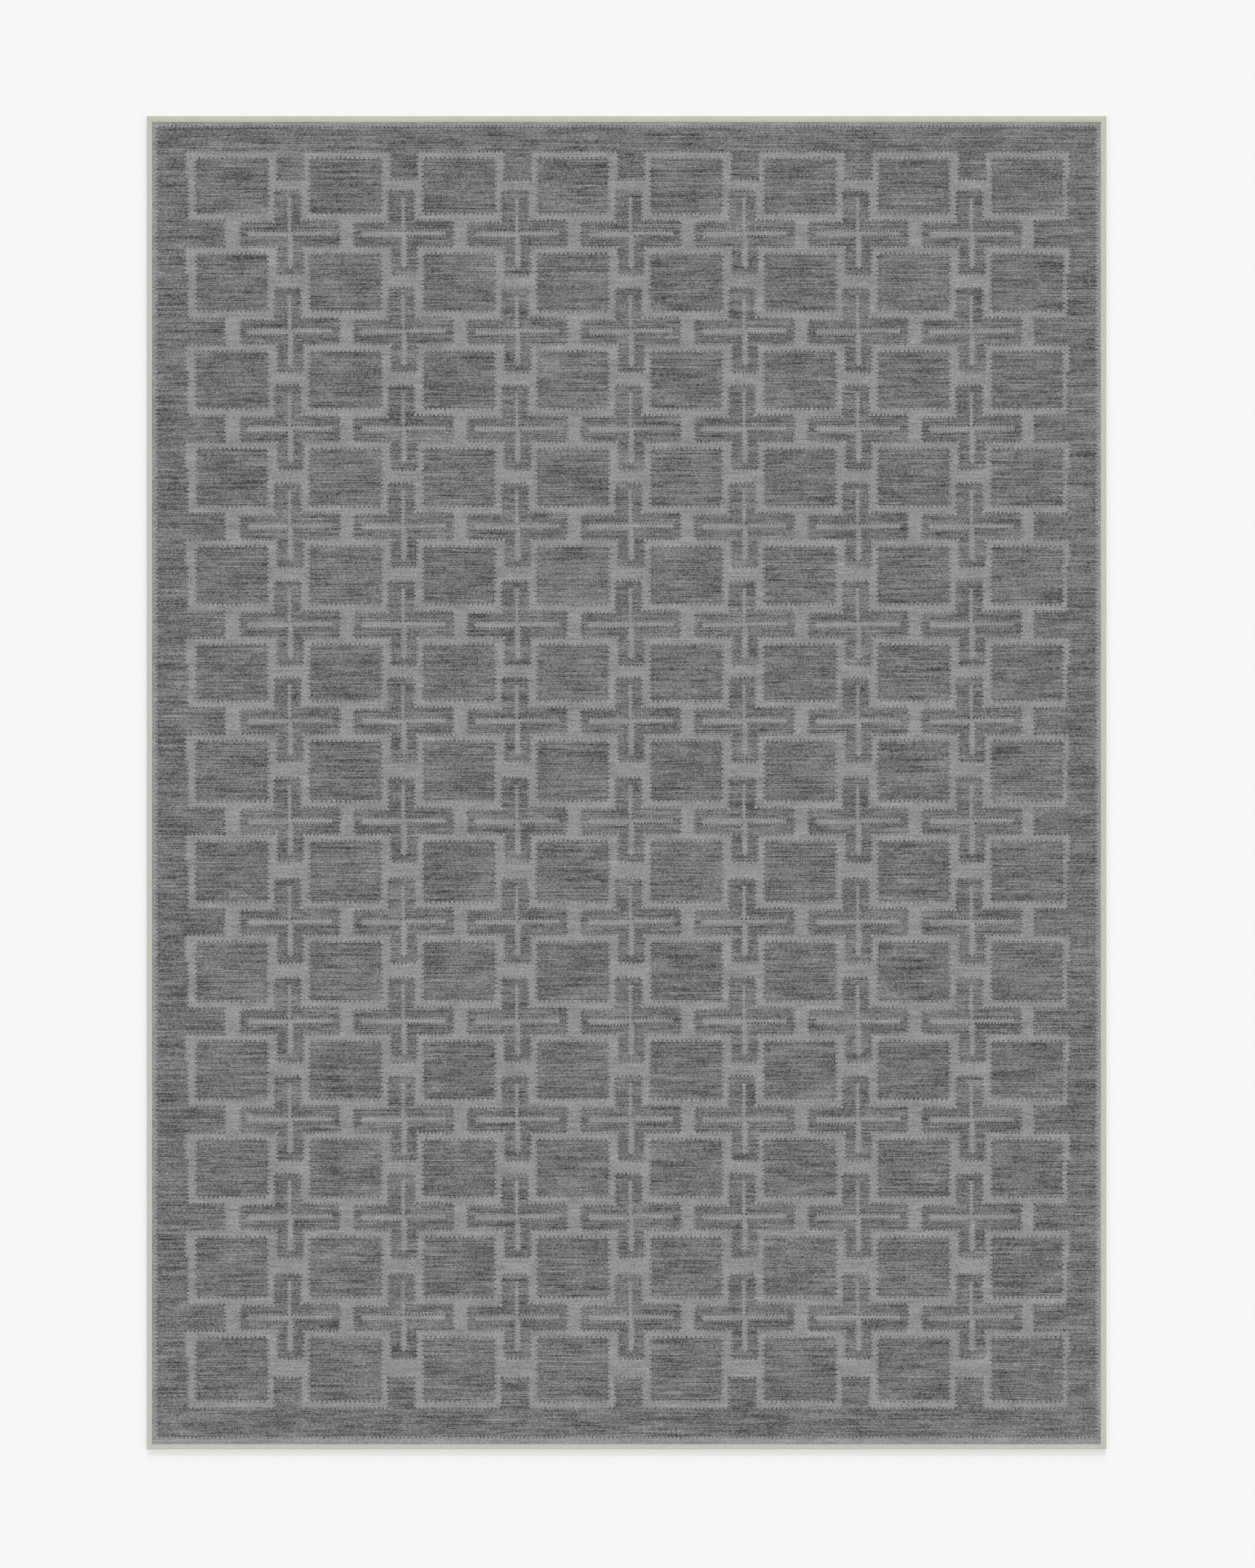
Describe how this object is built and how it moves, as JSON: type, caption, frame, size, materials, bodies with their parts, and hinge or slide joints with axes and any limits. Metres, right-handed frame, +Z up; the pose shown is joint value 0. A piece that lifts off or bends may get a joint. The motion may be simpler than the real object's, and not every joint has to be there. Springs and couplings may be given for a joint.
{
  "type": "area rug",
  "caption": "Flat rectangular low-pile rug: patterned face cloth on scrim, felt cushion and grip sheet, with a mitred tape binding stitched round its edges.",
  "frame": {"origin": "on the floor under the middle of the rug", "axes": "+X across the width, +Y along the length towards the head edge, +Z up from the floor"},
  "size_m": [1.524, 2.118, 0.0082],
  "materials": {
    "grip_rubber": "matt, with a fine waffle relief",
    "label_satin": "satin weave, blank",
    "grey_felt": "needled felt",
    "scrim_weave": "open plain weave",
    "face_yarn": "low-pile ribbed weave, heathered dark grey ground with a lighter grey figure",
    "binding_weave": "fine matt tape, pale sage",
    "binding_thread": "spun thread, tone on tone"
  },
  "bodies": {
    "root": {"grip_backing": "grip_rubber", "care_label": "label_satin", "cushion_felt": "grey_felt", "backing_scrim": "scrim_weave", "face_cloth": "face_yarn", "binding_head": "binding_weave", "binding_foot": "binding_weave", "binding_left": "binding_weave", "binding_right": "binding_weave", "needle_thread": "binding_thread", "bobbin_thread": "binding_thread"}
  },
  "joints": []
}
